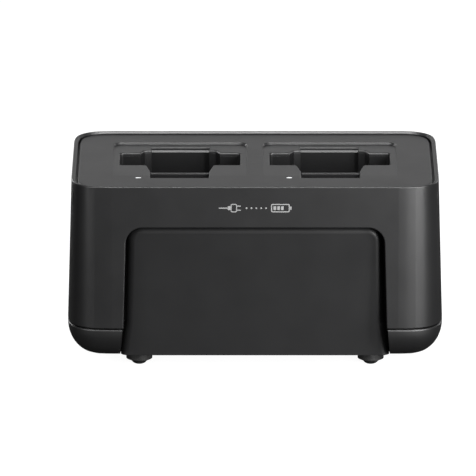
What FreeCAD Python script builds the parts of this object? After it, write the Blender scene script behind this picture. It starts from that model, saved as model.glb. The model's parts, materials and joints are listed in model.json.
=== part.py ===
import FreeCAD, Part
import math
import os

import Sketcher

# Two-bay desktop charging station for portable wireless transmitters.
# Millimetres, +Z up, +Y to the back, +X to the right; the origin is on the
# ground under the centre of the station, which stands on four rubber feet.

V = FreeCAD.Vector

doc = FreeCAD.newDocument("charging_station")
sheet = doc.addObject("Spreadsheet::Sheet", "sizes")

DRIVING = {
    # whole station
    "width": 200.0,
    "depth": 116.0,
    "height": 105.0,
    "foot_rise": 9.2,
    "seam_level": 26.6,
    "seam_gap": 0.6,
    "draft": 2.3,
    "wall": 2.4,
    "corner_reach": 24.0,
    "corner_tight": 17.0,
    "corner_ease": 10.0,
    "base_round": 16.4,
    "lip_round": 0.8,
    # top of the housing and the deck plate
    "rim_width": 2.2,
    "rim_bevel": 1.0,
    "rim_round": 0.6,
    "rim_gap": 0.6,
    "deck_drop": 1.1,
    "deck_round": 1.6,
    "deck_thick": 2.6,
    "ledge_thick": 2.5,
    "ledge_reach": 9.0,
    # arched recesses in the front and the back
    "arch_half_top": 68.5,
    "arch_half_seam": 70.1,
    "arch_half_base": 72.1,
    "arch_top": 82.7,
    "arch_round": 9.0,
    "recess_back": 40.5,
    "recess_wall": 2.0,
    "frame_reach": 12.0,
    "panel_gap": 0.9,
    "panel_round": 4.0,
    "panel_top_in": 7.7,
    "panel_base_in": 11.0,
    "panel_skin": 2.4,
    # bays
    "bay_offset": 40.2,
    "wing_half": 32.2,
    "wing_front": 7.0,
    "wing_back": 17.6,
    "wing_round": 1.6,
    "slot_half": 15.6,
    "slot_front": 33.2,
    "slot_back": 29.8,
    "flare_half": 21.5,
    "flare_back": 23.8,
    "flare_side_back": 22.9,
    "flare_front": 20.0,
    "flare_side_front": 8.3,
    "flare_front_half": 17.6,
    "well_floor": 60.0,
    "well_skin": 1.6,
    "lead_in": 1.0,
    "rib_front": 24.0,
    "rib_back": 21.7,
    "rib_drop": 0.4,
    # shallow finger recess round each bay
    "dish_half": 35.5,
    "dish_front": 29.3,
    "dish_back": 35.7,
    "dish_deep": 1.1,
    "dish_round": 4.5,
    "dish_draft": 35.0,
    # status window
    "window_side": 22.0,
    "window_front": 33.2,
    "window_wide": 3.2,
    "window_long": 2.0,
    # contacts
    "pin_radius": 1.0,
    "pin_pitch": 5.0,
    "pin_rise": 2.4,
    "spring_wire": 0.4,
    # circuit boards
    "board_thick": 1.6,
    "board_level": 25.0,
    "board_wide": 150.0,
    "board_front": 34.0,
    "board_back": 36.0,
    "contact_board_level": 54.4,
    # feet
    "foot_x": 62.0,
    "foot_y": 30.6,
    "foot_radius": 7.0,
    # ballast
    "ballast_wide": 120.0,
    "ballast_long": 50.0,
    "ballast_thick": 4.0,
    # rear connectors
    "power_x": 38.0,
    "network_x": 8.0,
    "reset_x": 24.0,
}
for row, (alias, number) in enumerate(DRIVING.items(), start=1):
    sheet.set("A%d" % row, alias)
    sheet.set("B%d" % row, str(number))
    sheet.setAlias("B%d" % row, alias)
doc.recompute()
SIZE = {alias: float(sheet.get(alias)) for alias in DRIVING}

pieces = {}


# ---------------------------------------------------------------- helpers

def cells(text):
    """Put the sheet's name before each driving dimension in a formula."""
    words = []
    word = ""
    for letter in str(text) + " ":
        if letter.isalnum() or letter in "_.":
            word += letter
            continue
        words.append("sizes." + word if word in DRIVING else word)
        words.append(letter)
        word = ""
    return "".join(words).strip()


def value(text):
    """The number that a formula gives."""
    found = sheet.evalExpression(cells(text))
    return float(getattr(found, "Value", found))


def bind(target, path, text):
    target.setExpression(path, cells(text))


def new_body(label):
    body = doc.addObject("PartDesign::Body", label)
    body.Label = label
    return body


def piece(thing, node):
    """Record an object as one of the station's separate pieces."""
    thing.Label = node
    pieces[node] = thing
    return thing


def place(thing, x="0", y="0", z="0"):
    """Bind the placement of a piece that is drawn about its own origin."""
    bind(thing, "Placement.Base.x", x)
    bind(thing, "Placement.Base.y", y)
    bind(thing, "Placement.Base.z", z)


def arc_centre(start, end, radius, side):
    """Centre of the arc from start to end; side is 1 when it turns left."""
    middle = (start + end) * 0.5
    chord = end - start
    height = math.sqrt(max(radius * radius - chord.Length ** 2 / 4.0, 0.0))
    normal = V(-chord.y, chord.x, 0).normalize()
    return middle + normal * (height * side)


def sketch(body, plane, level, loops, tilt=None):
    """A sketch on one of the body's origin planes, at a level along its axis.

    Each loop is a circle, ("circle", x, y, radius), or a list of corners
    (x, y) or (x, y, radius, side): the last form is reached by an arc of that
    radius, which turns left for side 1 and right for side -1. Every number is
    a formula of the driving dimensions.
    """
    made = body.newObject("Sketcher::SketchObject", body.Label + "_sketch")
    origin = [f for f in body.Origin.OriginFeatures if f.Role == plane][0]
    made.AttachmentSupport = [(origin, "")]
    made.MapMode = "FlatFace"
    if tilt:
        turn = FreeCAD.Rotation(V(1, 0, 0), -math.degrees(math.atan(value(tilt))))
        made.AttachmentOffset = FreeCAD.Placement(V(0, 0, 0), turn)
    sign = "-1 * " if plane == "XZ_Plane" else ""
    bind(made, "AttachmentOffset.Base.z", "%s(%s)" % (sign, level))
    for loop in loops:
        if loop[0] == "circle":
            draw_circle(made, *loop[1:])
        else:
            draw_loop(made, loop)
    return made


def draw_circle(made, x, y, radius):
    centre = V(value(x), value(y), 0)
    index = made.addGeometry(Part.Circle(centre, V(0, 0, 1), value(radius)), False)
    for kind, text, number in (("DistanceX", x, centre.x), ("DistanceY", y, centre.y)):
        datum = made.addConstraint(Sketcher.Constraint(kind, -1, 1, index, 3, number))
        bind(made, "Constraints[%d]" % datum, text)
    datum = made.addConstraint(Sketcher.Constraint("Radius", index, value(radius)))
    bind(made, "Constraints[%d]" % datum, radius)


def draw_loop(made, corners):
    points = [V(value(c[0]), value(c[1]), 0) for c in corners]
    first = made.GeometryCount
    ends = []
    for i, corner in enumerate(corners):
        start, end = points[i - 1], points[i]
        if len(corner) == 2:
            made.addGeometry(Part.LineSegment(start, end), False)
            ends.append((1, 2))
            continue
        radius, side = value(corner[2]), corner[3]
        centre = arc_centre(start, end, radius, side)
        angles = [math.atan2(p.y - centre.y, p.x - centre.x) for p in (start, end)]
        if side < 0:
            angles.reverse()
        if angles[1] < angles[0]:
            angles[1] += 2 * math.pi
        circle = Part.Circle(centre, V(0, 0, 1), radius)
        made.addGeometry(Part.ArcOfCircle(circle, angles[0], angles[1]), False)
        ends.append((1, 2) if side > 0 else (2, 1))
    count = len(corners)
    for i, corner in enumerate(corners):
        index, following = first + i, first + (i + 1) % count
        joined = Sketcher.Constraint("Coincident", index, ends[i][1],
                                     following, ends[(i + 1) % count][0])
        made.addConstraint(joined)
        for kind, text, number in (("DistanceX", corner[0], points[i].x),
                                   ("DistanceY", corner[1], points[i].y)):
            fixed = Sketcher.Constraint(kind, -1, 1, index, ends[i][1], number)
            bind(made, "Constraints[%d]" % made.addConstraint(fixed), text)
        if len(corner) > 2:
            fixed = Sketcher.Constraint("Radius", index, value(corner[2]))
            bind(made, "Constraints[%d]" % made.addConstraint(fixed), corner[2])


def extrude(body, plane, start, end, loops, cut=False):
    """Pad or pocket loops drawn across a plane's axis from start to end."""
    drawn = sketch(body, plane, start, loops)
    kind = "PartDesign::Pocket" if cut else "PartDesign::Pad"
    feature = body.newObject(kind, body.Label + ("_pocket" if cut else "_pad"))
    feature.Profile = drawn
    feature.Reversed = cut != (plane == "XZ_Plane")
    bind(feature, "Length", "(%s) - (%s)" % (end, start))
    return feature


def pad(body, plane, start, end, *loops):
    return extrude(body, plane, start, end, loops)


def pocket(body, plane, start, end, *loops):
    return extrude(body, plane, start, end, loops, cut=True)


def revolve(body, loop):
    """A solid of revolution about +Z from a half-section in X and Z."""
    drawn = sketch(body, "XZ_Plane", "0", [loop])
    feature = body.newObject("PartDesign::Revolution", body.Label + "_turned")
    feature.Profile = drawn
    feature.ReferenceAxis = (drawn, ["V_Axis"])
    feature.Angle = 360
    return feature


def rectangle(x0, y0, x1, y1):
    return [(x1, y0), (x1, y1), (x0, y1), (x0, y0)]


def rounded(x0, y0, x1, y1, r):
    """A rectangle with round corners of radius r, anticlockwise."""
    lo_x, hi_x = "(%s) + (%s)" % (x0, r), "(%s) - (%s)" % (x1, r)
    lo_y, hi_y = "(%s) + (%s)" % (y0, r), "(%s) - (%s)" % (y1, r)
    return [(hi_x, y0), (x1, lo_y, r, 1), (x1, hi_y), (hi_x, y1, r, 1),
            (lo_x, y1), (x0, hi_y, r, 1), (x0, lo_y), (lo_x, y0, r, 1)]


def plan(inset):
    """The station's outline seen from above, moved in by an inset.

    Each corner is a tight arc between two long easing arcs, so the straight
    sides turn into it softly. All insets share the same arc centres.
    """
    turn = "(sin(corner_ease) - cos(corner_ease))"
    ease = "((corner_reach + corner_tight * %s) / (1 + %s))" % (turn, turn)
    long_r = "(%s - (%s))" % (ease, inset)
    tight_r = "(corner_tight - (%s))" % inset
    half_x = "(width / 2 - (%s))" % inset
    half_y = "(depth / 2 - (%s))" % inset
    reach = "(corner_reach - (%s))" % inset
    rise = "(%s * sin(corner_ease))" % long_r
    fall = "(%s * (1 - cos(corner_ease)))" % long_r
    corners = []
    for sx, sy in ((1, 1), (-1, 1), (-1, -1), (1, -1)):
        side = [(half_x, "(%s - %s)" % (half_y, reach)),
                ("(%s - %s)" % (half_x, fall),
                 "(%s - %s + %s)" % (half_y, reach, rise), long_r),
                ("(%s - %s + %s)" % (half_x, reach, rise),
                 "(%s - %s)" % (half_y, fall), tight_r),
                ("(%s - %s)" % (half_x, reach), half_y, long_r)]
        if sx * sy < 0:
            radii = [None, long_r, tight_r, long_r]
            places = [(p[0], p[1]) for p in reversed(side)]
            side = [places[0]] + [places[i] + (radii[i],) for i in (1, 2, 3)]
        for corner in side:
            moved = ("%d * %s" % (sx, corner[0]), "%d * %s" % (sy, corner[1]))
            corners.append(moved + ((corner[2], 1) if len(corner) > 2 else ()))
    return corners


def arch(grow, base):
    """The recess's arched outline in X and Z, with a straight foot at base."""
    top = "(arch_top + (%s))" % grow
    slope = "((arch_half_seam - arch_half_top) / (arch_top - seam_level))"
    half_top = "(arch_half_top + (%s))" % grow
    foot = "(%s + %s * (arch_top - (%s)))" % (half_top, slope, base)
    r = "(arch_round + (%s))" % grow
    lower = "(%s - %s)" % (top, r)
    shoulder = "(%s + %s * %s)" % (half_top, slope, r)
    # the corner arc meets the leaning side a little inside its own square
    bend = "(%s * %s)" % (slope, r)
    inner = "(%s - %s)" % (shoulder, r)
    side_x = "(%s + %s * cos(atan(%s)))" % (inner, r, slope)
    side_z = "(%s + %s * sin(atan(%s)))" % (lower, r, slope)
    return [(foot, base), (side_x, side_z), (inner, top, r, 1),
            ("-1 * " + inner, top), ("-1 * " + side_x, side_z, r, 1),
            ("-1 * " + foot, base)]


def frame_mouth(base):
    """The opening in the back of a recess, inside its frame."""
    half, top = "(arch_half_top - frame_reach)", "(arch_top - frame_reach)"
    return [(half, base), (half, top + " - 6"), (half + " - 6", top, "6", 1),
            ("6 - " + half, top), ("-" + half, top + " - 6", "6", 1), ("-" + half, base)]


def bay_outline(grow, front="slot_front", back="slot_back"):
    """The opening of one bay, about the bay's own centre, seen from above."""
    g = "(%s)" % grow
    half = [("slot_half + " + g, "-(%s) - %s" % (front, g)),
            ("slot_half + " + g, "-flare_front - " + g),
            ("flare_front_half + " + g, "-flare_side_front - " + g),
            ("flare_front_half + 1 + " + g, "-wing_front - " + g),
            ("wing_half - wing_round", "-wing_front - " + g),
            ("wing_half + " + g, "wing_round - wing_front", "wing_round + " + g, 1),
            ("wing_half + " + g, "wing_back - wing_round"),
            ("wing_half - wing_round", "wing_back + " + g, "wing_round + " + g, 1),
            ("flare_half + " + g, "wing_back + " + g),
            ("flare_half - 2.3 + " + g, "flare_side_back + " + g),
            ("slot_half + " + g, "flare_back + " + g),
            ("slot_half + " + g, "(%s) + %s" % (back, g))]
    mirrored = []
    for i in reversed(range(len(half))):
        arc = half[i + 1][2:] if i + 1 < len(half) else ()
        mirrored.append(("-(%s)" % half[i][0], half[i][1]) + arc)
    return half + mirrored


def shifted(loop, x="0", y="0"):
    """The same loop moved along the sketch's X and Y."""
    return [("(%s) + (%s)" % (corner[0], x), "(%s) + (%s)" % (corner[1], y)) + tuple(corner[2:])
            for corner in loop]


def dress(body, kind, size, edges, label):
    """Round or bevel the named edges of the body's present shape."""
    feature = body.newObject("PartDesign::" + kind, label)
    feature.Base = (body.Tip if body.Tip != feature else feature.BaseFeature, edges)
    bind(feature, "Radius" if kind == "Fillet" else "Size", size)
    return feature


def edges_where(feature, test):
    found = []
    for number, edge in enumerate(feature.Shape.Edges, start=1):
        if test(edge):
            found.append("Edge%d" % number)
    return found


SIDES = {"left": "-bay_offset", "right": "bay_offset"}
BOARD_TOP = "(contact_board_level + board_thick)"
MAIN_TOP = "(board_level + board_thick)"


# ---------------------------------------------------------------- casing

LOW = "(seam_level + seam_gap)"
DECK_TOP = "(height - deck_drop)"
LEDGE_TOP = "(height - deck_drop - deck_thick)"
LEDGE_BASE = "(height - deck_drop - deck_thick - ledge_thick)"
FLOOR_TOP = "(foot_rise + wall)"
POST_X, POST_Y, POST_BASE, POST_END = 86, 44, "20", "37"
HEAD_SEAT = "(foot_rise + 5.2)"
WEB_BASE, WEB_REACH, WEB_HALF = "32", 10.8, 1.2
SEAM_BEVEL, ARCH_ROUNDING = "0.4", "0.5"
CORNERS = [(1, 1), (-1, 1), (-1, -1), (1, -1)]
DECK_SCREWS = [("-60", "50.2"), ("0", "50.2"), ("60", "50.2"),
               ("-60", "-50.2"), ("0", "-50.2"), ("60", "-50.2")]
PANEL_SCREWS = [("-63", "40"), ("63", "40"), ("0", "arch_top - frame_reach / 2")]
BOARD_SCREWS = [("%d * 70" % sx, "1 + %d * 29" % sy) for sx, sy in CORNERS]
BALLAST_SCREWS = [("%d * 52" % sx, "%d * 18" % sy) for sx, sy in CORNERS]
CONTACT_Y = "((wing_back - wing_front) / 2)"
WELL_SCREWS = [("-28", CONTACT_Y), ("28", CONTACT_Y), ("-11", "-28.8"), ("11", "-28.8")]


def circles(centres, radius):
    return [("circle", x, y, radius) for x, y in centres]


def loft(body, low, high, low_loop, high_loop, cut=False):
    """A straight-sided loft between two level outlines."""
    lower = sketch(body, "XY_Plane", low, [low_loop])
    upper = sketch(body, "XY_Plane", high, [high_loop])
    kind = "PartDesign::SubtractiveLoft" if cut else "PartDesign::AdditiveLoft"
    feature = body.newObject(kind, body.Label + "_loft")
    feature.Profile = lower
    feature.Sections = [upper]
    feature.Ruled = True
    return feature


def at_level(edge, level):
    return all(abs(v.Z - level) < 0.01 for v in edge.Vertexes)


def post_centres():
    return [(str(sx * POST_X), str(sy * POST_Y)) for sx, sy in CORNERS]


def make_housing():
    body = new_body("outer_housing")
    shell = loft(body, LOW, "height", plan("0"), plan("draft"))
    loft(body, LOW, LEDGE_BASE, plan("wall"), plan("draft + wall"), cut=True)
    pocket(body, "XY_Plane", LEDGE_BASE, "height", plan("draft + ledge_reach"))
    pocket(body, "XY_Plane", LEDGE_TOP, "height", plan("draft + rim_width"))
    inner = "(recess_back - recess_wall)"
    skin = "(depth / 2 - 2.5)"
    # each recess is a boxed arch whose back is a frame for the panel
    for start, end, open_start, open_end, mouth_start, mouth_end in (
            ("-" + skin, "-" + inner, "-depth / 2 - 1", "-recess_back",
             "-recess_back - 1", "-" + inner + " + 1"),
            (inner, skin, "recess_back", "depth / 2 + 1",
             inner + " - 1", "recess_back + 1")):
        pad(body, "XZ_Plane", start, end, arch("recess_wall", LOW))
        pocket(body, "XZ_Plane", open_start, open_end, arch("0", LOW + " - 1"))
        pocket(body, "XZ_Plane", mouth_start, mouth_end, frame_mouth(LOW + " - 1"))
        pocket(body, "XZ_Plane", mouth_start, mouth_end, *circles(PANEL_SCREWS, "1.3"))
    pad(body, "XY_Plane", POST_BASE, LEDGE_BASE + " + 0.1", *circles(post_centres(), "5"))
    webs = []
    for sx, sy in CORNERS:
        low_x, high_x = sorted((sx * POST_X, sx * (POST_X + WEB_REACH)))
        webs.append(rectangle(str(low_x), str(sy * POST_Y - WEB_HALF),
                              str(high_x), str(sy * POST_Y + WEB_HALF)))
    pad(body, "XY_Plane", WEB_BASE, LEDGE_BASE + " + 0.1", *webs)
    pocket(body, "XY_Plane", POST_BASE, POST_END, *circles(post_centres(), "1.55"))
    pocket(body, "XY_Plane", LEDGE_BASE, LEDGE_TOP, *circles(DECK_SCREWS, "1.3"))
    doc.recompute()
    top = SIZE["height"]
    brim = shell.Sections[0]
    outline = (brim[0] if isinstance(brim, tuple) else brim).Shape
    outer = edges_where(body, lambda e: at_level(e, top) and lies_on(e, outline))
    dress(body, "Fillet", "rim_round", outer, "rim_rounding")
    doc.recompute()
    reach = SIZE["rim_width"] + SIZE["draft"]
    inner_edges = edges_where(body, lambda e: at_level(e, top) and is_inside(e, reach))
    dress(body, "Chamfer", "rim_bevel", inner_edges, "rim_bevel")
    doc.recompute()
    seam = SIZE["seam_level"] + SIZE["seam_gap"]
    outline = shell.Profile[0].Shape
    lower = edges_where(body, lambda e: at_level(e, seam) and lies_on(e, outline))
    dress(body, "Chamfer", SEAM_BEVEL, lower, "seam_bevel")
    doc.recompute()
    front = SIZE["depth"] / 2 - SIZE["draft"]
    mouth = edges_where(body, lambda e: on_mouth(e, front))
    dress(body, "Fillet", ARCH_ROUNDING, mouth, "arch_rounding")
    return piece(body, "outer_housing")


def is_inside(edge, inset):
    """Whether an edge is at least an inset away from the station's bounding box."""
    box = edge.BoundBox
    half_x, half_y = SIZE["width"] / 2 - inset + 0.05, SIZE["depth"] / 2 - inset + 0.05
    return max(-box.XMin, box.XMax) < half_x and max(-box.YMin, box.YMax) < half_y


def lies_on(edge, outline):
    """Whether the middle of an edge is on an outline."""
    middle = edge.valueAt((edge.FirstParameter + edge.LastParameter) / 2.0)
    return Part.Vertex(middle).distToShape(outline)[0] < 0.05


def on_mouth(edge, front):
    """Whether an edge is where an arched recess meets the outer face."""
    points = [v.Point for v in edge.Vertexes]
    low, high = SIZE["seam_level"] + 0.5, SIZE["arch_top"] + 0.1
    return (all(abs(p.y) > front for p in points)
            and all(low < p.z < high for p in points)
            and all(abs(p.x) < SIZE["arch_half_base"] for p in points)
            and max(p.z for p in points) > SIZE["seam_level"] + 2)


def make_deck():
    body = new_body("top_deck")
    pad(body, "XY_Plane", LEDGE_TOP, DECK_TOP, plan("draft + rim_width + rim_gap"))
    doc.recompute()
    top = SIZE["height"] - SIZE["deck_drop"]
    dress(body, "Fillet", "deck_round", edges_where(body, lambda e: at_level(e, top)), "deck_rounding")
    loops = []
    for offset in SIDES.values():
        run, half = "(dish_front + dish_back)", "dish_half"
        loops.append(shifted([(half, "0"), (half, run + " - dish_round"),
                              (half + " - dish_round", run, "dish_round", 1),
                              ("dish_round - " + half, run),
                              ("-" + half, run + " - dish_round", "dish_round", 1),
                              ("-" + half, "0")], offset))
    drawn = sketch(body, "XY_Plane", DECK_TOP, loops, tilt="dish_deep / (dish_front + dish_back)")
    bind(drawn, "AttachmentOffset.Base.y", "-dish_front")
    dish = body.newObject("PartDesign::Pocket", "finger_recesses")
    dish.Profile = drawn
    dish.Reversed = True
    bind(dish, "Length", "deck_thick")
    bind(dish, "TaperAngle", "dish_draft")
    doc.recompute()
    for outline in (bay_outline("0"), window("0")):
        both = [shifted(outline, offset) for offset in SIDES.values()]
        pocket(body, "XY_Plane", LEDGE_TOP, "height", *both)
    pocket(body, "XY_Plane", LEDGE_TOP, LEDGE_TOP + " + 2.0", *circles(DECK_SCREWS, "1.25"))
    doc.recompute()
    dress(body, "Fillet", "1.0", edges_where(body, on_bay_rim), "bay_rounding")
    return piece(body, "top_deck")


def on_bay_rim(edge):
    """Whether an edge is the upper rim of a bay's opening."""
    points = [v.Point for v in edge.Vertexes]
    lowest = SIZE["height"] - SIZE["deck_drop"] - SIZE["dish_deep"] - 0.05
    slack = 0.1
    return (edge.Length > 0.2
            and all(p.z > lowest for p in points)
            and all(abs(abs(p.x) - SIZE["bay_offset"]) < SIZE["wing_half"] + slack for p in points)
            and all(-SIZE["slot_front"] - slack < p.y < SIZE["slot_back"] + slack for p in points)
            and not all(in_window(p) for p in points))


def in_window(point):
    """Whether a point is on the outline of a status window."""
    return any(abs(point.x - centre) < SIZE["window_wide"] / 2 + 0.1
               and abs(point.y + SIZE["window_front"]) < SIZE["window_long"] / 2 + 0.1
               for centre in (SIZE["bay_offset"] - SIZE["window_side"],
                              -SIZE["bay_offset"] - SIZE["window_side"]))


def window(grow):
    """The status window's outline, about its bay's centre."""
    g = "(%s)" % grow
    half_x, half_y = "(window_wide / 2 + %s)" % g, "(window_long / 2 + %s)" % g
    return rounded("-window_side - " + half_x, "-window_front - " + half_y,
                   "-window_side + " + half_x, "-window_front + " + half_y, "0.9 + " + g)


def make_well(side, offset):
    body = new_body("bay_well_" + side)
    under, flange = LEDGE_TOP, "(%s - 2)" % LEDGE_TOP
    standoff = BOARD_TOP
    pad(body, "XY_Plane", flange, under, rounded("-37", "-38", "37", "33", "4"))
    pad(body, "XY_Plane", "well_floor - 2", flange, bay_outline("well_skin"))
    well = bay_outline("0", front="rib_back", back="slot_back - lead_in")
    pocket(body, "XY_Plane", "well_floor", under, well)
    latch = rectangle("-slot_half", "-slot_front", "slot_half", "-rib_front")
    pocket(body, "XY_Plane", "well_floor", under, latch)
    rib = rectangle("0.2 - slot_half", "-rib_front", "slot_half - 0.2", "-rib_back")
    pad(body, "XY_Plane", under, DECK_TOP + " - rib_drop", rib)
    pad(body, "XY_Plane", standoff, "well_floor - 2", *circles(WELL_SCREWS, "2.8"))
    pocket(body, "XY_Plane", standoff, "well_floor - 0.6", *circles(WELL_SCREWS, "1.0"))
    hole = rectangle("-12", CONTACT_Y + " - 4", "12", CONTACT_Y + " + 4")
    pocket(body, "XY_Plane", "well_floor - 2", "well_floor", hole)
    pocket(body, "XY_Plane", flange, under, window("0.15"))
    doc.recompute()
    level = SIZE["height"] - SIZE["deck_drop"] - SIZE["deck_thick"]
    back = SIZE["slot_back"] - SIZE["lead_in"]
    lead = edges_where(body, lambda e: at_level(e, level)
                       and all(abs(v.Y - back) < 0.01 and abs(v.X) < 16 for v in e.Vertexes))
    dress(body, "Chamfer", "lead_in - 0.02", lead, "lead_in_bevel")
    doc.recompute()
    crest = SIZE["height"] - SIZE["deck_drop"] - SIZE["rib_drop"]
    ridge = edges_where(body, lambda e: at_level(e, crest) and e.Length > 10)
    dress(body, "Fillet", "0.6", ridge, "rib_rounding")
    place(body, offset)
    return piece(body, body.Label)


def panel_face(inset="0"):
    """Depth of the leaning panel face at the arch's top and at the base."""
    top = "(depth / 2 - panel_top_in - (%s))" % inset
    base = "(depth / 2 - panel_base_in - (%s))" % inset
    return top, base


def make_panel(node, facing):
    """The leaning cover in an arched recess; facing is -1 in front, 1 behind."""
    body = new_body(node)
    back = "recess_back"
    outer = "(depth / 2 + 1)"
    span = ("-" + outer, "-" + back) if facing < 0 else (back, outer)
    outline = arch("-panel_gap", "seam_level")
    foot = "(arch_half_base - 0.4)"
    outline = [(foot, "foot_rise")] + outline + [("-1 * " + foot, "foot_rise")]
    pad(body, "XZ_Plane", span[0], span[1], outline)
    top, base = panel_face()
    f = "%d * " % facing
    shave = [(f + base, "foot_rise"), (f + "(%s + 20)" % base, "foot_rise"),
             (f + "(%s + 20)" % base, "arch_top"), (f + top, "arch_top")]
    if facing < 0:
        shave.reverse()
    pocket(body, "YZ_Plane", "-width / 2", "width / 2", shave)
    inner_top, inner_base = panel_face("panel_skin")
    slope = "((%s - %s) / (arch_top - foot_rise))" % (inner_top, inner_base)
    low, high, half = "25", "72", "56"
    hollow = [(f + "(recess_back - 1)", low),
              (f + "(%s + %s * (%s - foot_rise))" % (inner_base, slope, low), low),
              (f + "(%s + %s * (%s - foot_rise))" % (inner_base, slope, high), high),
              (f + "(recess_back - 1)", high)]
    if facing < 0:
        hollow.reverse()
    pocket(body, "YZ_Plane", "-" + half, half, hollow)
    doc.recompute()
    rim = edges_where(body, lambda e: on_panel_rim(e, facing))
    dress(body, "Fillet", "panel_round", rim, "panel_rounding")
    doc.recompute()
    pilot = ("recess_back", "recess_back + 3.5")
    if facing < 0:
        pilot = ("-recess_back - 3.5", "-recess_back")
    pocket(body, "XZ_Plane", pilot[0], pilot[1], *circles(PANEL_SCREWS, "1.25"))
    return body


def on_panel_rim(edge, facing):
    """Whether an edge bounds the leaning face, apart from its straight foot."""
    for vertex in edge.Vertexes:
        lean = (vertex.Z - SIZE["foot_rise"]) / (SIZE["arch_top"] - SIZE["foot_rise"])
        inset = SIZE["panel_base_in"] + lean * (SIZE["panel_top_in"] - SIZE["panel_base_in"])
        if abs(vertex.Y * facing - (SIZE["depth"] / 2 - inset)) > 0.02:
            return False
    return max(v.Z for v in edge.Vertexes) > SIZE["foot_rise"] + 1


def make_rear_panel():
    body = make_panel("rear_panel", 1)
    low = MAIN_TOP + " - 0.3"
    power = rounded("power_x - 4.8", low, "power_x + 4.8", MAIN_TOP + " + 11.3", "1")
    network = rounded("network_x - 8.3", low, "network_x + 8.3", MAIN_TOP + " + 13.8", "0.6")
    reset = ("circle", "reset_x", MAIN_TOP + " + 4", "1.8")
    pocket(body, "XZ_Plane", "recess_back", "depth / 2", power, network, reset)
    return piece(body, "rear_panel")


def make_tray():
    outside = new_body("tray_outside")
    pad(outside, "XY_Plane", "foot_rise", "seam_level", plan("0"))
    inside = new_body("tray_inside")
    pad(inside, "XY_Plane", FLOOR_TOP, "seam_level + 1", plan("wall"))
    doc.recompute()
    for body, radius, level in ((outside, "base_round", SIZE["foot_rise"]),
                                (inside, "base_round - wall", SIZE["foot_rise"] + SIZE["wall"])):
        lowest = edges_where(body, lambda e: at_level(e, level))
        dress(body, "Fillet", radius, lowest, body.Label + "_rounding")
    doc.recompute()
    upper = edges_where(outside, lambda e: at_level(e, SIZE["seam_level"]))
    dress(outside, "Fillet", "lip_round", upper, "tray_lip_rounding")
    blocks = new_body("tray_blocks")
    half = "(arch_half_base + 2.4)"
    inner = "(recess_back - 2.4)"
    pad(blocks, "XY_Plane", "foot_rise", "seam_level",
        rectangle("-" + half, "-depth / 2", half, "-" + inner),
        rectangle("-" + half, inner, half, "depth / 2"))
    additions = new_body("tray_bosses")
    root = FLOOR_TOP + " - 0.5"
    pad(additions, "XY_Plane", "foot_rise + 1", POST_BASE, *circles(post_centres(), "6"))
    pad(additions, "XY_Plane", root, "board_level", *circles(BOARD_SCREWS, "3.5"))
    pad(additions, "XY_Plane", root, FLOOR_TOP + " + ballast_thick", *circles(BALLAST_SCREWS, "3"))
    lip = new_body("tray_tongue")
    lip_low, lip_high = "seam_level - 2", "seam_level + 2.2"
    pad(lip, "XY_Plane", lip_low, lip_high, plan("wall + 0.2"))
    pocket(lip, "XY_Plane", lip_low, lip_high, plan("wall + 1.8"))
    pocket(lip, "XY_Plane", lip_low, lip_high, rectangle("-" + half, "-depth / 2", half, "depth / 2"))
    cuts = new_body("tray_cuts")
    under = "foot_rise - 1"
    notch = [("arch_half_base", under), ("arch_half_seam + 0.4", "seam_level + 1"),
             ("-arch_half_seam - 0.4", "seam_level + 1"), ("-arch_half_base", under)]
    pad(cuts, "XZ_Plane", "-depth / 2 - 1", "-recess_back", notch)
    pad(cuts, "XZ_Plane", "recess_back", "depth / 2 + 1", notch)
    pad(cuts, "XY_Plane", under, HEAD_SEAT, *circles(post_centres(), "3.6"))
    pad(cuts, "XY_Plane", HEAD_SEAT + " - 0.1", POST_BASE + " + 1", *circles(post_centres(), "1.7"))
    feet = [("%d * foot_x" % sx, "%d * foot_y" % sy) for sx, sy in CORNERS]
    pad(cuts, "XY_Plane", under, "foot_rise + 1", *circles(feet, "foot_radius + 0.05"))
    pad(cuts, "XY_Plane", FLOOR_TOP + " + 2", "board_level + 1", *circles(BOARD_SCREWS, "1.25"))
    pad(cuts, "XY_Plane", "foot_rise + 1.2", "20", *circles(BALLAST_SCREWS, "1.5"))
    shell = combine("Part::Cut", "tray_shell", outside, inside)
    walls = combine("Part::Common", "tray_walls", blocks, outside)
    posts = combine("Part::Common", "tray_posts", additions, outside)
    whole = doc.addObject("Part::MultiFuse", "tray_whole")
    whole.Shapes = [shell, walls, posts, lip]
    whole.Label = "tray_whole"
    return piece(combine("Part::Cut", "base_tray", whole, cuts), "base_tray")


def combine(kind, label, base, tool):
    made = doc.addObject(kind, label)
    made.Base = base
    made.Tool = tool
    made.Label = label
    return made


def make_foot(name, x, y):
    body = new_body("foot_" + name)
    revolve(body, [("foot_radius", "3.1"), ("foot_radius", "foot_rise + 1"), ("0", "foot_rise + 1"),
                   ("0", "0"), ("2.2", "0"), ("4.25", "1.7", "3.4", 1)])
    place(body, x, y)
    return piece(body, body.Label)


def make_light_pipe(side, offset):
    body = new_body("light_pipe_" + side)
    pad(body, "XY_Plane", BOARD_TOP + " + 1.3", DECK_TOP + " - 0.1", window("-0.05"))
    place(body, offset)
    return piece(body, body.Label)


# ---------------------------------------------------------------- contacts

def contact_row():
    """Places of a bay's contact pins along X."""
    return ["(%s) * pin_pitch" % step for step in ("-1.5", "-0.5", "0.5", "1.5")]


BLOCK_TOP = "(well_floor + 3)"
GUIDE_BASE = "(well_floor + 1.6)"
COLLAR_BASE = "(well_floor + 0.75)"


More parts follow.
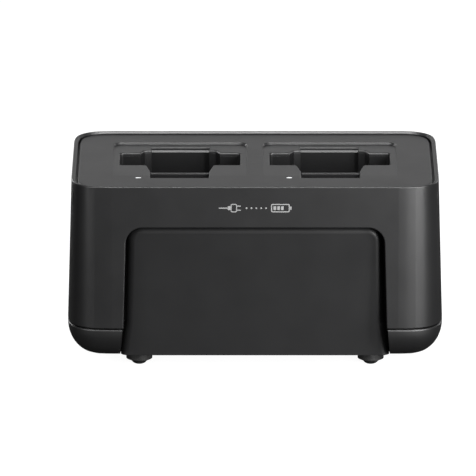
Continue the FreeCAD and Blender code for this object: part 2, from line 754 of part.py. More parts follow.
def make_contacts(side, offset):
    board = new_body("contact_board_" + side)
    pad(board, "XY_Plane", "contact_board_level", BOARD_TOP, rounded("-31", "-35.3", "31", "27", "2"))
    pocket(board, "XY_Plane", "contact_board_level", BOARD_TOP, *circles(WELL_SCREWS, "1.15"))
    place(board, offset)
    piece(board, board.Label)

    block = new_body("contact_block_" + side)
    pad(block, "XY_Plane", BOARD_TOP, BLOCK_TOP,
        rounded("-11.8", CONTACT_Y + " - 3.8", "11.8", CONTACT_Y + " + 3.8", "0.8"))
    bores = [(x, CONTACT_Y) for x in contact_row()]
    pocket(block, "XY_Plane", BOARD_TOP, GUIDE_BASE, *circles(bores, "1.7"))
    pocket(block, "XY_Plane", GUIDE_BASE, BLOCK_TOP, *circles(bores, "pin_radius + 0.05"))
    place(block, offset)
    piece(block, block.Label)

    tip, collar_top = "(%s + pin_rise)" % BLOCK_TOP, COLLAR_BASE + " + 0.8"
    for number, x in enumerate(contact_row(), start=1):
        pin = new_body("contact_pin_%s_%d" % (side, number))
        revolve(pin, [("1.5", COLLAR_BASE), ("1.5", collar_top),
                      ("pin_radius", collar_top), ("pin_radius", tip + " - 0.6"),
                      ("0", tip, "(pin_radius * pin_radius + 0.36) / 1.2", 1), ("0", COLLAR_BASE)])
        place(pin, "%s + %s" % (offset, x), CONTACT_Y)
        piece(pin, pin.Label)
        make_spring("contact_spring_%s_%d" % (side, number), "%s + %s" % (offset, x))

    led = new_body("status_led_" + side)
    pad(led, "XY_Plane", BOARD_TOP, BOARD_TOP + " + 1",
        rectangle("-window_side - 1.6", "-window_front - 0.8",
                  "-window_side + 1.6", "-window_front + 0.8"))
    place(led, offset)
    piece(led, led.Label)


def make_spring(node, x):
    """A compression spring between the contact board and the pin's collar."""
    wire = SIZE["spring_wire"]
    radius, turns, steps = 1.2, 5, 16
    low = value(BOARD_TOP) + wire / 2 + 0.02
    rise = value(COLLAR_BASE) - wire / 2 - 0.02 - low
    points = []
    for step in range(turns * steps + 1):
        angle = 2 * math.pi * step / steps
        climb = rise * step / (turns * steps)
        points.append(V(radius * math.cos(angle), radius * math.sin(angle), climb))
    coil = Part.BSplineCurve()
    coil.interpolate(points)
    section = Part.Wire(Part.makeCircle(wire / 2, V(radius, 0, 0), V(0, 1, 0)))
    made = doc.addObject("Part::Feature", node)
    made.Shape = Part.Wire(coil.toShape()).makePipeShell([section], True, True)
    made.Placement = FreeCAD.Placement(V(value(x), value(CONTACT_Y), low), FreeCAD.Rotation())
    bind(made, "Placement.Base.x", x)
    return piece(made, node)


# ---------------------------------------------------------------- electronics

CABLE_TOP_Y, CABLE_LOW_Y = "-25", "-12"


def make_main_board():
    board = new_body("main_board")
    pad(board, "XY_Plane", "board_level", MAIN_TOP,
        rounded("-board_wide / 2", "-board_front", "board_wide / 2", "board_back", "3"))
    pocket(board, "XY_Plane", "board_level", MAIN_TOP, *circles(BOARD_SCREWS, "1.6"))
    piece(board, "main_board")

    chips = new_body("board_chips")
    pad(chips, "XY_Plane", MAIN_TOP, MAIN_TOP + " + 1.2",
        rectangle("-17", "-17", "-5", "-5"), rectangle("10", "-16", "17", "-9"),
        rectangle("-31", "8", "-25", "14"), rectangle("54", "-4", "61", "3"),
        rectangle("-61", "-4", "-54", "3"), rectangle("2", "4", "12", "10"))
    piece(chips, "board_chips")

    coils = new_body("power_inductors")
    pad(coils, "XY_Plane", MAIN_TOP, MAIN_TOP + " + 6",
        rounded("40", "8", "52", "20", "2.5"), rounded("-52", "8", "-40", "20", "2.5"))
    piece(coils, "power_inductors")

    cans = new_body("capacitors")
    places = [("52", "28"), ("62", "28"), ("-42", "28"), ("-54", "28")]
    pad(cans, "XY_Plane", MAIN_TOP, MAIN_TOP + " + 12", *circles(places, "4"))
    piece(cans, "capacitors")

    sockets = new_body("cable_sockets")
    for x in SIDES.values():
        low = rectangle(x + " - 7", CABLE_LOW_Y + " - 2.5", x + " + 7", CABLE_LOW_Y + " + 2.5")
        high = rectangle(x + " - 7", CABLE_TOP_Y + " - 2.5", x + " + 7", CABLE_TOP_Y + " + 2.5")
        pad(sockets, "XY_Plane", MAIN_TOP, MAIN_TOP + " + 4", low)
        pad(sockets, "XY_Plane", "contact_board_level - 4", "contact_board_level", high)
    piece(sockets, "cable_sockets")


def make_ribbon(side, offset):
    """A flat cable between the two boards, bent in two equal quarter turns."""
    body = new_body("ribbon_cable_" + side)
    top, low = "(contact_board_level - 4)", "(%s + 4)" % MAIN_TOP
    r = "((%s - (%s)) / 2)" % (CABLE_LOW_Y, CABLE_TOP_Y)
    mid_y = "((%s + %s) / 2)" % (CABLE_LOW_Y, CABLE_TOP_Y)
    mid_z = "((%s + %s) / 2)" % (top, low)
    t = "0.4"
    upper, lower = "(%s + %s)" % (mid_z, r), "(%s - %s)" % (mid_z, r)
    path = [("%s - %s" % (CABLE_TOP_Y, t), upper),
            (mid_y, "%s - %s" % (mid_z, t), "%s + %s" % (r, t), 1),
            ("%s - %s" % (CABLE_LOW_Y, t), lower, "%s - %s" % (r, t), -1),
            ("%s - %s" % (CABLE_LOW_Y, t), low),
            ("%s + %s" % (CABLE_LOW_Y, t), low),
            ("%s + %s" % (CABLE_LOW_Y, t), lower),
            (mid_y, "%s + %s" % (mid_z, t), "%s + %s" % (r, t), 1),
            ("%s + %s" % (CABLE_TOP_Y, t), upper, "%s - %s" % (r, t), -1),
            ("%s + %s" % (CABLE_TOP_Y, t), top),
            ("%s - %s" % (CABLE_TOP_Y, t), top)]
    pad(body, "YZ_Plane", "-6", "6", path)
    place(body, offset)
    return piece(body, body.Label)


SOCKET_FACE = "(depth / 2 - panel_base_in)"


def make_rear_connectors():
    power = new_body("dc_socket")
    pad(power, "XZ_Plane", SOCKET_FACE + " - 14", SOCKET_FACE,
        rectangle("power_x - 4.5", MAIN_TOP, "power_x + 4.5", MAIN_TOP + " + 11"))
    centre = ("power_x", MAIN_TOP + " + 6")
    pocket(power, "XZ_Plane", SOCKET_FACE + " - 10", SOCKET_FACE, ("circle",) + centre + ("3.2",))
    piece(power, "dc_socket")

    centre_pin = new_body("dc_socket_pin")
    pad(centre_pin, "XZ_Plane", SOCKET_FACE + " - 10", SOCKET_FACE + " - 1",
        ("circle",) + centre + ("1.0",))
    piece(centre_pin, "dc_socket_pin")

    network = new_body("network_socket")
    x, z = "network_x", MAIN_TOP
    pad(network, "XZ_Plane", SOCKET_FACE + " - 21", SOCKET_FACE,
        rectangle(x + " - 8", z, x + " + 8", z + " + 13.5"))
    pocket(network, "XZ_Plane", SOCKET_FACE + " - 14", SOCKET_FACE,
           rectangle(x + " - 5.9", z + " + 3.6", x + " + 5.9", z + " + 11.6"))
    pocket(network, "XZ_Plane", SOCKET_FACE + " - 9", SOCKET_FACE,
           rectangle(x + " - 3.1", z + " + 1.2", x + " + 3.1", z + " + 3.7"))
    piece(network, "network_socket")

    wires = new_body("network_contacts")
    strips = []
    for step in range(8):
        left = "%s + (%g) * 1.02" % (x, step - 3.5)
        strips.append(rectangle(left + " - 0.22", z + " + 10.4", left + " + 0.22", z + " + 10.9"))
    pad(wires, "XZ_Plane", SOCKET_FACE + " - 14", SOCKET_FACE + " - 4", *strips)
    piece(wires, "network_contacts")


def make_reset():
    centre = ("reset_x", MAIN_TOP + " + 4")
    switch = new_body("reset_switch")
    pad(switch, "XZ_Plane", "33.5", "38",
        rectangle("reset_x - 3", MAIN_TOP, "reset_x + 3", MAIN_TOP + " + 7"))
    piece(switch, "reset_switch")
    button = new_body("reset_button")
    pad(button, "XZ_Plane", "38.45", SOCKET_FACE + " - 0.3", ("circle",) + centre + ("1.75",))
    pad(button, "XZ_Plane", "43.6", "44.6", ("circle",) + centre + ("2.8",))
    piece(button, "reset_button")


# ---------------------------------------------------------------- base plate, label, screws

def make_ballast():
    plate = new_body("ballast_plate")
    pad(plate, "XY_Plane", FLOOR_TOP, FLOOR_TOP + " + ballast_thick",
        rounded("-ballast_wide / 2", "-ballast_long / 2", "ballast_wide / 2", "ballast_long / 2", "4"))
    pocket(plate, "XY_Plane", FLOOR_TOP, FLOOR_TOP + " + ballast_thick",
           *circles(BALLAST_SCREWS, "3.2"))
    piece(plate, "ballast_plate")


def make_label():
    label = new_body("rating_label")
    pad(label, "XY_Plane", "foot_rise - 0.25", "foot_rise", rounded("-30", "-15", "30", "15", "2"))
    piece(label, "rating_label")


def make_screws(node, plane, centres, head, shank, radii):
    """Equal screws: heads and shanks between two levels, with cross slots."""
    body = new_body(node)
    pad(body, plane, head[0], head[1], *circles(centres, radii[0]))
    pad(body, plane, shank[0], shank[1], *circles(centres, radii[1]))
    outward = head[2]
    arm, half = "(%s * 0.62)" % radii[0], "0.35"
    ends = (head[1] + " - 0.9", head[1]) if outward > 0 else (head[0], head[0] + " + 0.9")
    for across, along in ((arm, half), (half, arm)):
        crosses = [rectangle("%s - %s" % (x, across), "%s - %s" % (y, along),
                             "%s + %s" % (x, across), "%s + %s" % (y, along)) for x, y in centres]
        pocket(body, plane, ends[0], ends[1], *crosses)
    return piece(body, node)


def make_fasteners():
    make_screws("base_screws", "XY_Plane", post_centres(),
                (HEAD_SEAT + " - 2.8", HEAD_SEAT, -1), (HEAD_SEAT, "35"), ("3.2", "1.5"))
    make_screws("deck_screws", "XY_Plane", DECK_SCREWS,
                (LEDGE_BASE + " - 1.8", LEDGE_BASE, -1),
                (LEDGE_BASE, LEDGE_TOP + " + 1.9"), ("2.4", "1.2"))
    make_screws("main_board_screws", "XY_Plane", BOARD_SCREWS,
                (MAIN_TOP, MAIN_TOP + " + 1.8", 1), ("board_level - 8", MAIN_TOP), ("2.8", "1.2"))
    ballast_top = "(%s + ballast_thick)" % FLOOR_TOP
    make_screws("ballast_screws", "XY_Plane", BALLAST_SCREWS,
                (ballast_top, ballast_top + " + 2", 1),
                (ballast_top + " - 4.8", ballast_top), ("4", "1.45"))
    for node, facing in (("front_panel_screws", -1), ("rear_panel_screws", 1)):
        face = "(recess_back - recess_wall)"
        if facing < 0:
            head = ("-" + face, "-" + face + " + 1.6", 1)
            shank = ("-" + face + " - 5", "-" + face)
        else:
            head = (face + " - 1.6", face, -1)
            shank = (face, face + " + 5")
        make_screws(node, "XZ_Plane", PANEL_SCREWS, head, shank, ("2.4", "1.2"))
    both = []
    for offset in SIDES.values():
        both += [("%s + (%s)" % (offset, x), y) for x, y in WELL_SCREWS]
    make_screws("contact_board_screws", "XY_Plane", both,
                ("contact_board_level - 1.5", "contact_board_level", -1),
                ("contact_board_level", "well_floor - 0.8"), ("1.9", "0.95"))


# ---------------------------------------------------------------- the station

def build():
    make_housing()
    make_deck()
    make_tray()
    piece(make_panel("front_panel", -1), "front_panel")
    make_rear_panel()
    for name, sx, sy in (("front_left", "-", "-"), ("front_right", "", "-"),
                         ("rear_left", "-", ""), ("rear_right", "", "")):
        make_foot(name, sx + "foot_x", sy + "foot_y")
    for side, offset in SIDES.items():
        make_well(side, offset)
        make_light_pipe(side, offset)
        make_contacts(side, offset)
        make_ribbon(side, offset)
    make_main_board()
    make_rear_connectors()
    make_reset()
    make_ballast()
    make_label()
    make_fasteners()
    doc.recompute()


def check():
    """Every object is sound, and every pocket took some material away."""
    for thing in doc.Objects:
        if "Invalid" in thing.State or "Error" in thing.State:
            raise ValueError("%s did not compute: %s" % (thing.Label, thing.State))
        if thing.TypeId in ("PartDesign::Pocket", "PartDesign::SubtractiveLoft"):
            if thing.Shape.Volume > thing.BaseFeature.Shape.Volume - 0.01:
                raise ValueError("%s cuts nothing" % thing.Label)
    for node, thing in pieces.items():
        if thing.Shape.isNull() or not thing.Shape.isValid():
            raise ValueError("%s has no sound shape" % node)
        if not thing.Shape.Solids:
            raise ValueError("%s has no solid" % node)


def write():
    os.makedirs("parts", exist_ok=True)
    for node, thing in pieces.items():
        thing.Shape.exportStep("parts/%s.step" % node)
    print("%d pieces" % len(pieces))


build()
check()
write()
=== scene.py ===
"""Looks of the two-bay charging station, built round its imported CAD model.

Every CAD node gets a finish. The printed pictograms are a new piece, and wound
springs stand for the CAD springs. Metres, +Z up, -Y to the front.
"""

import json
import math

import bmesh
import bpy
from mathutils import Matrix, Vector


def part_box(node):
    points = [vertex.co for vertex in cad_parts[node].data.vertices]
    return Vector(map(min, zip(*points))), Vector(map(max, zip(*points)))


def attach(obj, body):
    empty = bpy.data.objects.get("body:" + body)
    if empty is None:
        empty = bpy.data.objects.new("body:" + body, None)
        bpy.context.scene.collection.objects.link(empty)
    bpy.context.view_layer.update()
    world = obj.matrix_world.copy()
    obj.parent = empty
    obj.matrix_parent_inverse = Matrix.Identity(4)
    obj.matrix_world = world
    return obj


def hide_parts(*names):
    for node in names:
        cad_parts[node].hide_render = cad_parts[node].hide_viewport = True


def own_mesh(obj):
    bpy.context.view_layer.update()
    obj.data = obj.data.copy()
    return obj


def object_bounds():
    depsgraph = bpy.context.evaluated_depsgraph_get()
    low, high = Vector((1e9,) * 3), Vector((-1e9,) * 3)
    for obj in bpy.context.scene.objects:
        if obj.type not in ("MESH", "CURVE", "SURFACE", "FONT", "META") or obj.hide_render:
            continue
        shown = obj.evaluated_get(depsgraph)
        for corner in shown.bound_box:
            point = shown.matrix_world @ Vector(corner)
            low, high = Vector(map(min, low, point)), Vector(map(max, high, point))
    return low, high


MM = 0.001

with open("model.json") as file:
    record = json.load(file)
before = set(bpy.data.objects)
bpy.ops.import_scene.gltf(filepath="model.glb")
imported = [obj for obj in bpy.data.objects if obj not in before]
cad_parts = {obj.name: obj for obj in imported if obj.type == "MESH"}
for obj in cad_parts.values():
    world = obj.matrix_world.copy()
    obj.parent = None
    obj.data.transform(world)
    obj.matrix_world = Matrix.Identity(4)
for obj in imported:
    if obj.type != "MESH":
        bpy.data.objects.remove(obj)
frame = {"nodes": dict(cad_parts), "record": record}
nodes = frame["nodes"]
cad_low, cad_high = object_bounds()
centre = (cad_low + cad_high) / 2


# ---------------------------------------------------------------- node helpers

def add(tree, kind, settings=None, **inputs):
    """A shader node; each input is a value or another node's output."""
    made = tree.nodes.new("ShaderNode" + kind)
    for name, setting in (settings or {}).items():
        setattr(made, name, setting)
    for name, given in inputs.items():
        socket = made.inputs[int(name[1:]) if name[0] == "_" else name.replace("_", " ")]
        if isinstance(given, bpy.types.NodeSocket):
            tree.links.new(given, socket)
        else:
            socket.default_value = given
    return made


def grey(level, alpha=1.0):
    return (level, level, level, alpha)


def noise(tree, place, size_mm, detail=2.0, roughness=0.5, stretch=(1, 1, 1)):
    """Soft noise from 0 to 1 whose blobs are about size_mm across."""
    scaled = add(tree, "Mapping", Vector=place, Scale=stretch)
    return add(tree, "TexNoise", Vector=scaled.outputs[0], Scale=0.5 / (size_mm * MM),
               Detail=detail, Roughness=roughness).outputs[0]


def spread(tree, mask, low, high, low_in=0.3, high_in=0.7):
    """The mask stretched to run from low to high."""
    return add(tree, "MapRange", {"clamp": True}, Value=mask, From_Min=low_in, From_Max=high_in,
               To_Min=low, To_Max=high).outputs[0]


def tint(tree, mask, first, second):
    """first where the mask is 0 and second where it is 1."""
    return add(tree, "Mix", {"data_type": "RGBA"}, _0=mask, _6=first, _7=second).outputs[2]


def combine(tree, kind, first, second):
    return add(tree, "Math", {"operation": kind}, _0=first, _1=second).outputs[0]


def start(name):
    """A new material with its Principled shader and object coordinates."""
    made = bpy.data.materials.new(name)
    made.use_nodes = True
    tree = made.node_tree
    shader = tree.nodes["Principled BSDF"]
    place = add(tree, "TexCoord").outputs["Object"]
    return made, tree, shader, place


def rounded_normal(tree, shader, heights, radius_mm, strength=1.0):
    """Bump from heights in millimetres, over edges softened by a small radius."""
    edge = add(tree, "Bevel", {"samples": 4}, Radius=radius_mm * MM)
    bump = add(tree, "Bump", Strength=strength, Distance=MM, Height=heights, Normal=edge.outputs[0])
    tree.links.new(bump.outputs[0], shader.inputs["Normal"])


# ---------------------------------------------------------------- finishes

def moulded(name, colour, rough, grain_mm=0.22, depth_mm=0.006, edge_mm=0.25, scuffs=0.0,
            specular=0.5):
    """Black moulded plastic with a spark-eroded grain, faint rubs and dust."""
    made, tree, shader, place = start(name)
    grain = noise(tree, place, grain_mm, detail=3.0, roughness=0.6)
    pits = add(tree, "TexVoronoi", {"feature": "SMOOTH_F1"}, Vector=place,
               Scale=1 / (grain_mm * 1.6 * MM)).outputs[0]
    cloud = noise(tree, place, 9.0, detail=4.0)
    rubs = noise(tree, place, 1.4, detail=5.0, roughness=0.7, stretch=(0.25, 1.0, 1.0))
    darker, lighter = ([c * share for c in colour] + [1] for share in (0.96, 1.04))
    base = tint(tree, spread(tree, cloud, 0, 1), darker, lighter)
    dusty = tint(tree, spread(tree, rubs, 0, scuffs, 0.62, 0.85), base, grey(0.16))
    tree.links.new(dusty, shader.inputs["Base Color"])
    sheen_spots = spread(tree, cloud, rough - 0.014, rough + 0.014)
    polished = combine(tree, "SUBTRACT", sheen_spots, spread(tree, rubs, 0, 0.05, 0.6, 0.8))
    tree.links.new(polished, shader.inputs["Roughness"])
    relief = combine(tree, "ADD", combine(tree, "MULTIPLY", grain, depth_mm),
                     combine(tree, "MULTIPLY", pits, depth_mm * 0.6))
    rounded_normal(tree, shader, relief, edge_mm)
    shader.inputs["Specular IOR Level"].default_value = specular
    return made


def rubber(name, colour, rough):
    made, tree, shader, place = start(name)
    grain = noise(tree, place, 0.35, detail=4.0, roughness=0.65)
    dust = noise(tree, place, 2.5, detail=5.0, roughness=0.7)
    mixed = tint(tree, spread(tree, dust, 0, 0.35, 0.5, 0.8), colour + [1], grey(0.12))
    tree.links.new(mixed, shader.inputs["Base Color"])
    tree.links.new(spread(tree, dust, rough - 0.08, rough + 0.08), shader.inputs["Roughness"])
    rounded_normal(tree, shader, combine(tree, "MULTIPLY", grain, 0.012), 0.3)
    return made


def metal(name, colour, rough, drawn=(1, 1, 1), tarnish=0.3, edge_mm=0.08):
    """Bare or plated metal with fine drawing lines along one axis."""
    made, tree, shader, place = start(name)
    lines = noise(tree, place, 0.12, detail=3.0, stretch=drawn)
    stains = noise(tree, place, 1.8, detail=4.0)
    dull = [c * 0.6 for c in colour]
    mixed = tint(tree, spread(tree, stains, 0, tarnish, 0.45, 0.8), colour + [1], dull + [1])
    tree.links.new(mixed, shader.inputs["Base Color"])
    tree.links.new(combine(tree, "ADD", spread(tree, lines, rough - 0.07, rough + 0.07),
                           spread(tree, stains, 0, 0.1)), shader.inputs["Roughness"])
    shader.inputs["Metallic"].default_value = 1.0
    rounded_normal(tree, shader, combine(tree, "MULTIPLY", lines, 0.004), edge_mm)
    return made


def circuit_board(name):
    """Green solder mask over copper tracks, with plated holes."""
    made, tree, shader, place = start(name)
    tracks = add(tree, "TexBrick", {"offset": 0.37, "squash": 1.6}, Vector=place, Scale=1 / (14 * MM),
                 Mortar_Size=0.028, Mortar_Smooth=0.1, Brick_Width=0.62, Row_Height=0.085).outputs["Fac"]
    dots = add(tree, "TexVoronoi", Vector=place, Scale=1 / (3.6 * MM)).outputs["Distance"]
    vias = spread(tree, dots, 1, 0, 0.07, 0.085)
    cloth = noise(tree, place, 0.4, detail=2.0)
    mask = tint(tree, tracks, (0.012, 0.085, 0.032, 1), (0.03, 0.17, 0.07, 1))
    mixed = tint(tree, vias, mask, (0.62, 0.5, 0.24, 1))
    tree.links.new(mixed, shader.inputs["Base Color"])
    tree.links.new(vias, shader.inputs["Metallic"])
    tree.links.new(spread(tree, cloth, 0.26, 0.4), shader.inputs["Roughness"])
    relief = combine(tree, "ADD", combine(tree, "MULTIPLY", tracks, 0.035),
                     combine(tree, "MULTIPLY", cloth, 0.004))
    rounded_normal(tree, shader, relief, 0.1)
    return made


def frosted(name, colour, rough, glow=0.0):
    """Frosted clear plastic; its glow is painted light, as if a lamp inside lit it."""
    made, tree, shader, place = start(name)
    frost = noise(tree, place, 0.15, detail=3.0)
    milk = noise(tree, place, 1.2, detail=2.0)
    mixed = tint(tree, spread(tree, milk, 0, 1), [c * 0.93 for c in colour] + [1], colour + [1])
    tree.links.new(mixed, shader.inputs["Base Color"])
    tree.links.new(spread(tree, frost, rough - 0.06, rough + 0.06), shader.inputs["Roughness"])
    shader.inputs["Subsurface Weight"].default_value = 0.4
    shader.inputs["Subsurface Radius"].default_value = (0.0012, 0.0012, 0.0012)
    # Painted light: the emission makes the plastic glow with no lamp behind it.
    tree.links.new(mixed, shader.inputs["Emission Color"])
    shader.inputs["Emission Strength"].default_value = glow
    rounded_normal(tree, shader, combine(tree, "MULTIPLY", frost, 0.006), 0.2)
    return made


def ribbon(name):
    """Grey flat cable of ten parallel insulated conductors, with painted shade in the grooves between them.
    """
    made, tree, shader, place = start(name)
    wire_ridges_and_groove_shade = add(tree, "TexWave", {"bands_direction": "X"}, Vector=place, Scale=0.314 / (1.27 * MM),
                Distortion=0.0).outputs["Fac"]
    scuff = noise(tree, place, 0.8, detail=4.0)
    # Painted shade: the grooves between conductors are darker, on the same bands that give the ridges their
    # bump.
    mixed = tint(tree, wire_ridges_and_groove_shade, grey(0.25), grey(0.46))
    tree.links.new(mixed, shader.inputs["Base Color"])
    tree.links.new(spread(tree, scuff, 0.3, 0.45), shader.inputs["Roughness"])
    rounded_normal(tree, shader, combine(tree, "MULTIPLY", wire_ridges_and_groove_shade, 0.12), 0.1)
    return made


def printed(name, colour, rough):
    """Screen-printed ink, with the weave of the screen and thin spots."""
    made, tree, shader, place = start(name)
    weave = noise(tree, place, 0.1, detail=1.0)
    thin = noise(tree, place, 1.0, detail=3.0)
    mixed = tint(tree, spread(tree, thin, 0, 1), [c * 0.86 for c in colour] + [1], colour + [1])
    tree.links.new(mixed, shader.inputs["Base Color"])
    tree.links.new(spread(tree, weave, rough - 0.06, rough + 0.06), shader.inputs["Roughness"])
    rounded_normal(tree, shader, combine(tree, "MULTIPLY", weave, 0.003), 0.03)
    return made


FINISHES = {
    "housing": moulded("housing", [0.0095, 0.0095, 0.0098], 0.37, specular=0.53),
    "deck": moulded("deck", [0.011, 0.011, 0.0114], 0.38, scuffs=0.05),
    # The tray is a darker copy of the housing's black plastic: painted shade for its downward-curving lower
    # part.
    "tray": moulded("tray", [0.0055, 0.0055, 0.0057], 0.44, specular=0.75),
    "panel": moulded("panel", [0.010, 0.010, 0.0104], 0.46, specular=0.34),
    "well": moulded("well", [0.009, 0.009, 0.0093], 0.38, scuffs=0.04, specular=0.36),
    "foot_rubber": rubber("foot_rubber", [0.015, 0.015, 0.015], 0.6),
    # The light pipe's glow is painted light; no lamp in the scene lights it.
    "light_pipe": frosted("light_pipe", [0.6, 0.61, 0.62], 0.35, glow=0.3),
    "led": frosted("led", [0.75, 0.8, 0.7], 0.25),
    "screw_steel": metal("screw_steel", [0.5, 0.5, 0.51], 0.34),
    "circuit_board": circuit_board("circuit_board"),
    "chip": moulded("chip", [0.02, 0.02, 0.02], 0.55, grain_mm=0.08, depth_mm=0.003, edge_mm=0.08),
    "inductor": moulded("inductor", [0.1, 0.1, 0.11], 0.7, grain_mm=0.15, depth_mm=0.01),
    "capacitor_can": metal("capacitor_can", [0.66, 0.67, 0.69], 0.3, drawn=(1, 1, 0.1)),
    "socket_plastic": moulded("socket_plastic", [0.018, 0.018, 0.018], 0.36, grain_mm=0.12, depth_mm=0.003),
    "socket_shield": metal("socket_shield", [0.62, 0.62, 0.63], 0.28, drawn=(0.1, 1, 1)),
    "contact_gold": metal("contact_gold", [0.86, 0.62, 0.24], 0.2, tarnish=0.15, edge_mm=0.05),
    "spring_steel": metal("spring_steel", [0.55, 0.55, 0.56], 0.25, edge_mm=0.02),
    "ribbon": ribbon("ribbon"),
    "button": moulded("button", [0.025, 0.025, 0.025], 0.45, grain_mm=0.12, depth_mm=0.004),
    "ballast_steel": metal("ballast_steel", [0.36, 0.37, 0.38], 0.45, drawn=(0.1, 1, 1), tarnish=0.6),
    "label": moulded("label", [0.07, 0.07, 0.072], 0.55, grain_mm=0.1, depth_mm=0.002, edge_mm=0.05),
}
INK = printed("ink", [0.24, 0.24, 0.24], 0.45)

for part in frame["record"]["subparts"]:
    mesh = nodes[part["node"]].data
    mesh.materials.clear()
    mesh.materials.append(FINISHES[part["material_slot"]])


# ---------------------------------------------------------------- printed pictograms

def arc_points(x, y, radius, first, last, steps=8):
    """Points round an arc, between two angles in degrees."""
    turns = [math.radians(first + (last - first) * i / steps) for i in range(steps + 1)]
    return [(x + radius * math.cos(t), y + radius * math.sin(t)) for t in turns]


def rounded_box(x0, y0, x1, y1, r):
    """Points round a rectangle from (x0, y0) to (x1, y1) with corners of radius r."""
    left, right, low, high = x0 + r, x1 - r, y0 + r, y1 - r
    points = []
    for x, y, first in ((right, high, 0), (left, high, 90), (left, low, 180), (right, low, 270)):
        points += arc_points(x, y, r, first, first + 90, 6)
    return points


def print_shape(mesh, outer, inner, to_surface, thick):
    """A flat raised shape; with an inner outline it becomes a frame."""
    rings = []
    for outline in (outer, inner) if inner else (outer,):
        for level in (0, thick):
            rings.append([mesh.verts.new(to_surface(x, y, level)) for x, y in outline])
    count = len(outer)
    pairs = [(rings[0], rings[1])]
    if inner:
        pairs += [(rings[1], rings[3]), (rings[3], rings[2]), (rings[2], rings[0])]
    else:
        mesh.faces.new(rings[1])
        mesh.faces.new(list(reversed(rings[0])))
    for first, second in pairs:
        for i in range(count):
            j = (i + 1) % count
            mesh.faces.new((first[i], first[j], second[j], second[i]))


def finish_piece(name, mesh, material):
    """Turn a bmesh into a piece that rides on the station."""
    bmesh.ops.recalc_face_normals(mesh, faces=mesh.faces)
    data = bpy.data.meshes.new(name)
    mesh.to_mesh(data)
    mesh.free()
    data.materials.append(material)
    made = bpy.data.objects.new(name, data)
    bpy.context.scene.collection.objects.link(made)
    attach(made, "station")
    return made


def front_surface(node, x, z):
    """Turns millimetres on a node's front face into places, found by a ray along +Y."""
    start_point = Vector((x, -1, z))
    hit, place, normal, _ = nodes[node].ray_cast(start_point, Vector((0, 1, 0)))
    if not hit:
        raise ValueError("no face of %s at %s" % (node, start_point))
    across = Vector((1, 0, 0))
    up = normal.cross(across).normalized()
    if up.z < 0:
        up.negate()
    return lambda u, v, lift: place + across * (u * MM) + up * (v * MM) + normal * (lift * MM)


def front_pictograms():
    """A plug, a row of dots and a battery, printed above the arch."""
    on_face = front_surface("outer_housing", centre.x, 93.6 * MM)
    mesh = bmesh.new()
    ink_mm = 0.04
    shapes = [
        # the lead, the plug's body and its two prongs
        (rounded_box(-19.25, -0.3, -14.2, 0.3, 0.28), None),
        (rounded_box(-14.6, -1.1, -12.9, 1.1, 0.5), None),
        (rounded_box(-13.0, -2.3, -9.6, 2.3, 0.9), rounded_box(-12.5, -1.8, -10.1, 1.8, 0.5)),
        (rounded_box(-9.5, 0.85, -7.6, 1.4, 0.25), None),
        (rounded_box(-9.5, -1.4, -7.6, -0.85, 0.25), None),
        # the battery's case and its end; its bars come last
        (rounded_box(8.4, -2.3, 18.3, 2.3, 0.9), rounded_box(8.95, -1.75, 17.75, 1.75, 0.5)),
        (rounded_box(18.4, -0.9, 19.25, 0.9, 0.35), None),
    ]
    # five dots between them
    shapes += [(arc_points(-4.6 + 2.6 * i, 0, 0.48, 0, 345, 23), None) for i in range(5)]
    shapes += [(rounded_box(9.7 + 2.0 * i, -1.05, 11.1 + 2.0 * i, 1.05, 0.25), None)
               for i in range(3)]
    for outer, inner in shapes:
        print_shape(mesh, outer, inner, on_face, ink_mm)
    finish_piece("front_pictograms", mesh, INK)


front_pictograms()


# ---------------------------------------------------------------- contact springs

def wound_spring(joint, wire_mm=0.4, turns=5):
    """A round-wire coil in place of the CAD spring, which is hidden."""
    node = joint["child"].replace("contact_pin", "contact_spring")
    low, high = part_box(node)
    half_wire = wire_mm / 2 * MM
    radius = (high.x - low.x) / 2 - half_wire
    foot = Vector(((low.x + high.x) / 2, (low.y + high.y) / 2, low.z))
    height = high.z - low.z
    steps_each, sides = 28, 10
    step_count = turns * steps_each
    climb = (height - 2 * half_wire) / step_count
    slope = climb * steps_each / (2 * math.pi * radius)
    mesh = bmesh.new()
    rings = []
    for step in range(step_count + 1):
        angle = 2 * math.pi * step / steps_each
        outward = Vector((math.cos(angle), math.sin(angle), 0))
        along = Vector((-math.sin(angle), math.cos(angle), slope)).normalized()
        across = along.cross(outward)
        middle_of_wire = foot + outward * radius + Vector((0, 0, half_wire + climb * step))
        ring = []
        for side in range(sides):
            turn = 2 * math.pi * side / sides
            offset = (outward * math.cos(turn) + across * math.sin(turn)) * half_wire
            ring.append(mesh.verts.new(middle_of_wire + offset))
        rings.append(ring)
    for first, second in zip(rings, rings[1:]):
        for side in range(sides):
            after = (side + 1) % sides
            mesh.faces.new((first[side], first[after], second[after], second[side]))
    mesh.faces.new(rings[0])
    mesh.faces.new(list(reversed(rings[-1])))
    for face in mesh.faces:
        face.smooth = len(face.verts) == 4
    spring = finish_piece(node.replace("contact", "wound"), mesh, FINISHES["spring_steel"])
    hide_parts(node)
    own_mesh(spring)


for joint in frame["record"]["behaviour"]["joints"]:
    if joint["child"].startswith("contact_pin"):
        wound_spring(joint)


# ---------------------------------------------------------------- floor, light and camera

def stage_material(name, seen, reflected):
    """White to the camera, and dark (reflected) as a source of bounced light."""
    made = bpy.data.materials.new(name)
    made.use_nodes = True
    tree = made.node_tree
    tree.nodes.clear()
    direct = add(tree, "LightPath").outputs["Is Camera Ray"]
    paper = add(tree, "BsdfDiffuse", Color=grey(0.2))
    glow = add(tree, "Emission", Color=grey(1.0), Strength=seen)
    pale = add(tree, "AddShader", _0=glow.outputs[0], _1=paper.outputs[0])
    dim = add(tree, "BsdfDiffuse", Color=grey(reflected))
    both = add(tree, "MixShader", _0=direct, _1=dim.outputs[0], _2=pale.outputs[0])
    out = add(tree, "OutputMaterial")
    tree.links.new(both.outputs[0], out.inputs[0])
    return made


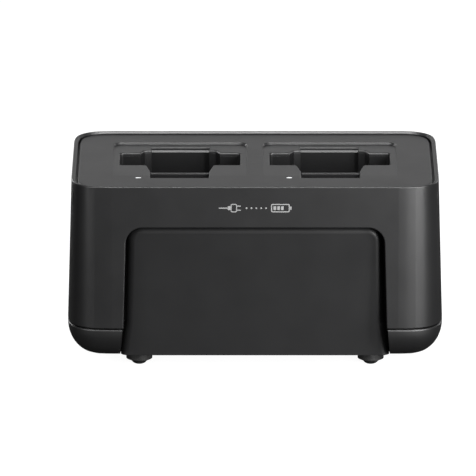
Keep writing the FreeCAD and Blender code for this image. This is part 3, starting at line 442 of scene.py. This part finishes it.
def make_floor():
    half = 30.0
    mesh = bmesh.new()
    signs = ((-1, -1), (1, -1), (1, 1), (-1, 1))
    mesh.faces.new([mesh.verts.new((sx * half, sy * half, 0)) for sx, sy in signs])
    data = bpy.data.meshes.new("floor")
    mesh.to_mesh(data)
    mesh.free()
    data.materials.append(stage_material("floor", 0.95, 0.03))
    floor = bpy.data.objects.new("floor", data)
    bpy.context.scene.collection.objects.link(floor)


LIGHT_AIM = Vector((0, 0, 0.06))
# name, place (m), width and height (m), power (W)
LIGHTS = (
    ("key", (0.317, -0.597, 0.241), 0.12, 0.5, 5.4),
    ("key_edge", (0.486, -0.47, 0.241), 0.08, 0.5, 3.0),
    ("key_corner", (0.54, -0.407, 0.241), 0.08, 0.5, 1.3),
    ("fill", (-0.476, -0.609, 0.267), 0.12, 0.5, 0.95),
    ("fill_edge", (-0.592, -0.497, 0.267), 0.15, 0.5, 1.35),
    ("overhead", (0, -0.233, 0.929), 0.8, 0.2, 11.5),
    ("backdrop", (0, 1.3, 0.38), 1.8, 0.4, 1.8),
    ("rear_key", (-0.47, 0.5, 0.241), 0.12, 0.5, 1.4),
    ("rear_fill", (0.5, 0.47, 0.267), 0.15, 0.5, 0.8),
)


def softbox(name, place, wide, high, power):
    """An area light at a place in metres, turned to LIGHT_AIM and unseen by the camera."""
    data = bpy.data.lights.new(name, "AREA")
    data.shape = "RECTANGLE"
    data.size, data.size_y = wide, high
    data.energy = power
    made = bpy.data.objects.new(name, data)
    made.location = place
    made.rotation_euler = (LIGHT_AIM - Vector(place)).to_track_quat("-Z", "Y").to_euler()
    made.visible_camera = False
    bpy.context.scene.collection.objects.link(made)


def make_world(seen, ambient):
    """White where the camera looks past the floor, and nearly dark to everything else."""
    world = bpy.data.worlds.new("studio")
    bpy.context.scene.world = world
    world.use_nodes = True
    tree = world.node_tree
    tree.nodes.clear()
    direct = add(tree, "LightPath").outputs["Is Camera Ray"]
    white = add(tree, "Background", Color=grey(1.0), Strength=seen)
    dim = add(tree, "Background", Color=grey(1.0), Strength=ambient)
    both = add(tree, "MixShader", _0=direct, _1=dim.outputs[0], _2=white.outputs[0])
    out = add(tree, "OutputWorld")
    tree.links.new(both.outputs[0], out.inputs[0])


def make_camera():
    """A long lens 4 m away, 16.4 degrees above the horizon."""
    distance, elevation = 4.0, math.radians(16.4)
    aim = Vector((centre.x - 9.1 * MM, cad_low.y, 77.7 * MM))
    back = Vector((0, -math.cos(elevation), math.sin(elevation)))
    data = bpy.data.cameras.new("camera")
    data.sensor_width = 36
    data.lens = 571
    data.clip_end = 200
    made = bpy.data.objects.new("camera", data)
    made.location = aim + back * distance
    made.rotation_euler = (-back).to_track_quat("-Z", "Y").to_euler()
    bpy.context.scene.collection.objects.link(made)
    bpy.context.scene.camera = made


make_floor()
make_world(seen=1.0, ambient=0.03)
for settings in LIGHTS:
    softbox(*settings)
make_camera()

bpy.context.scene.view_settings.view_transform = "Standard"
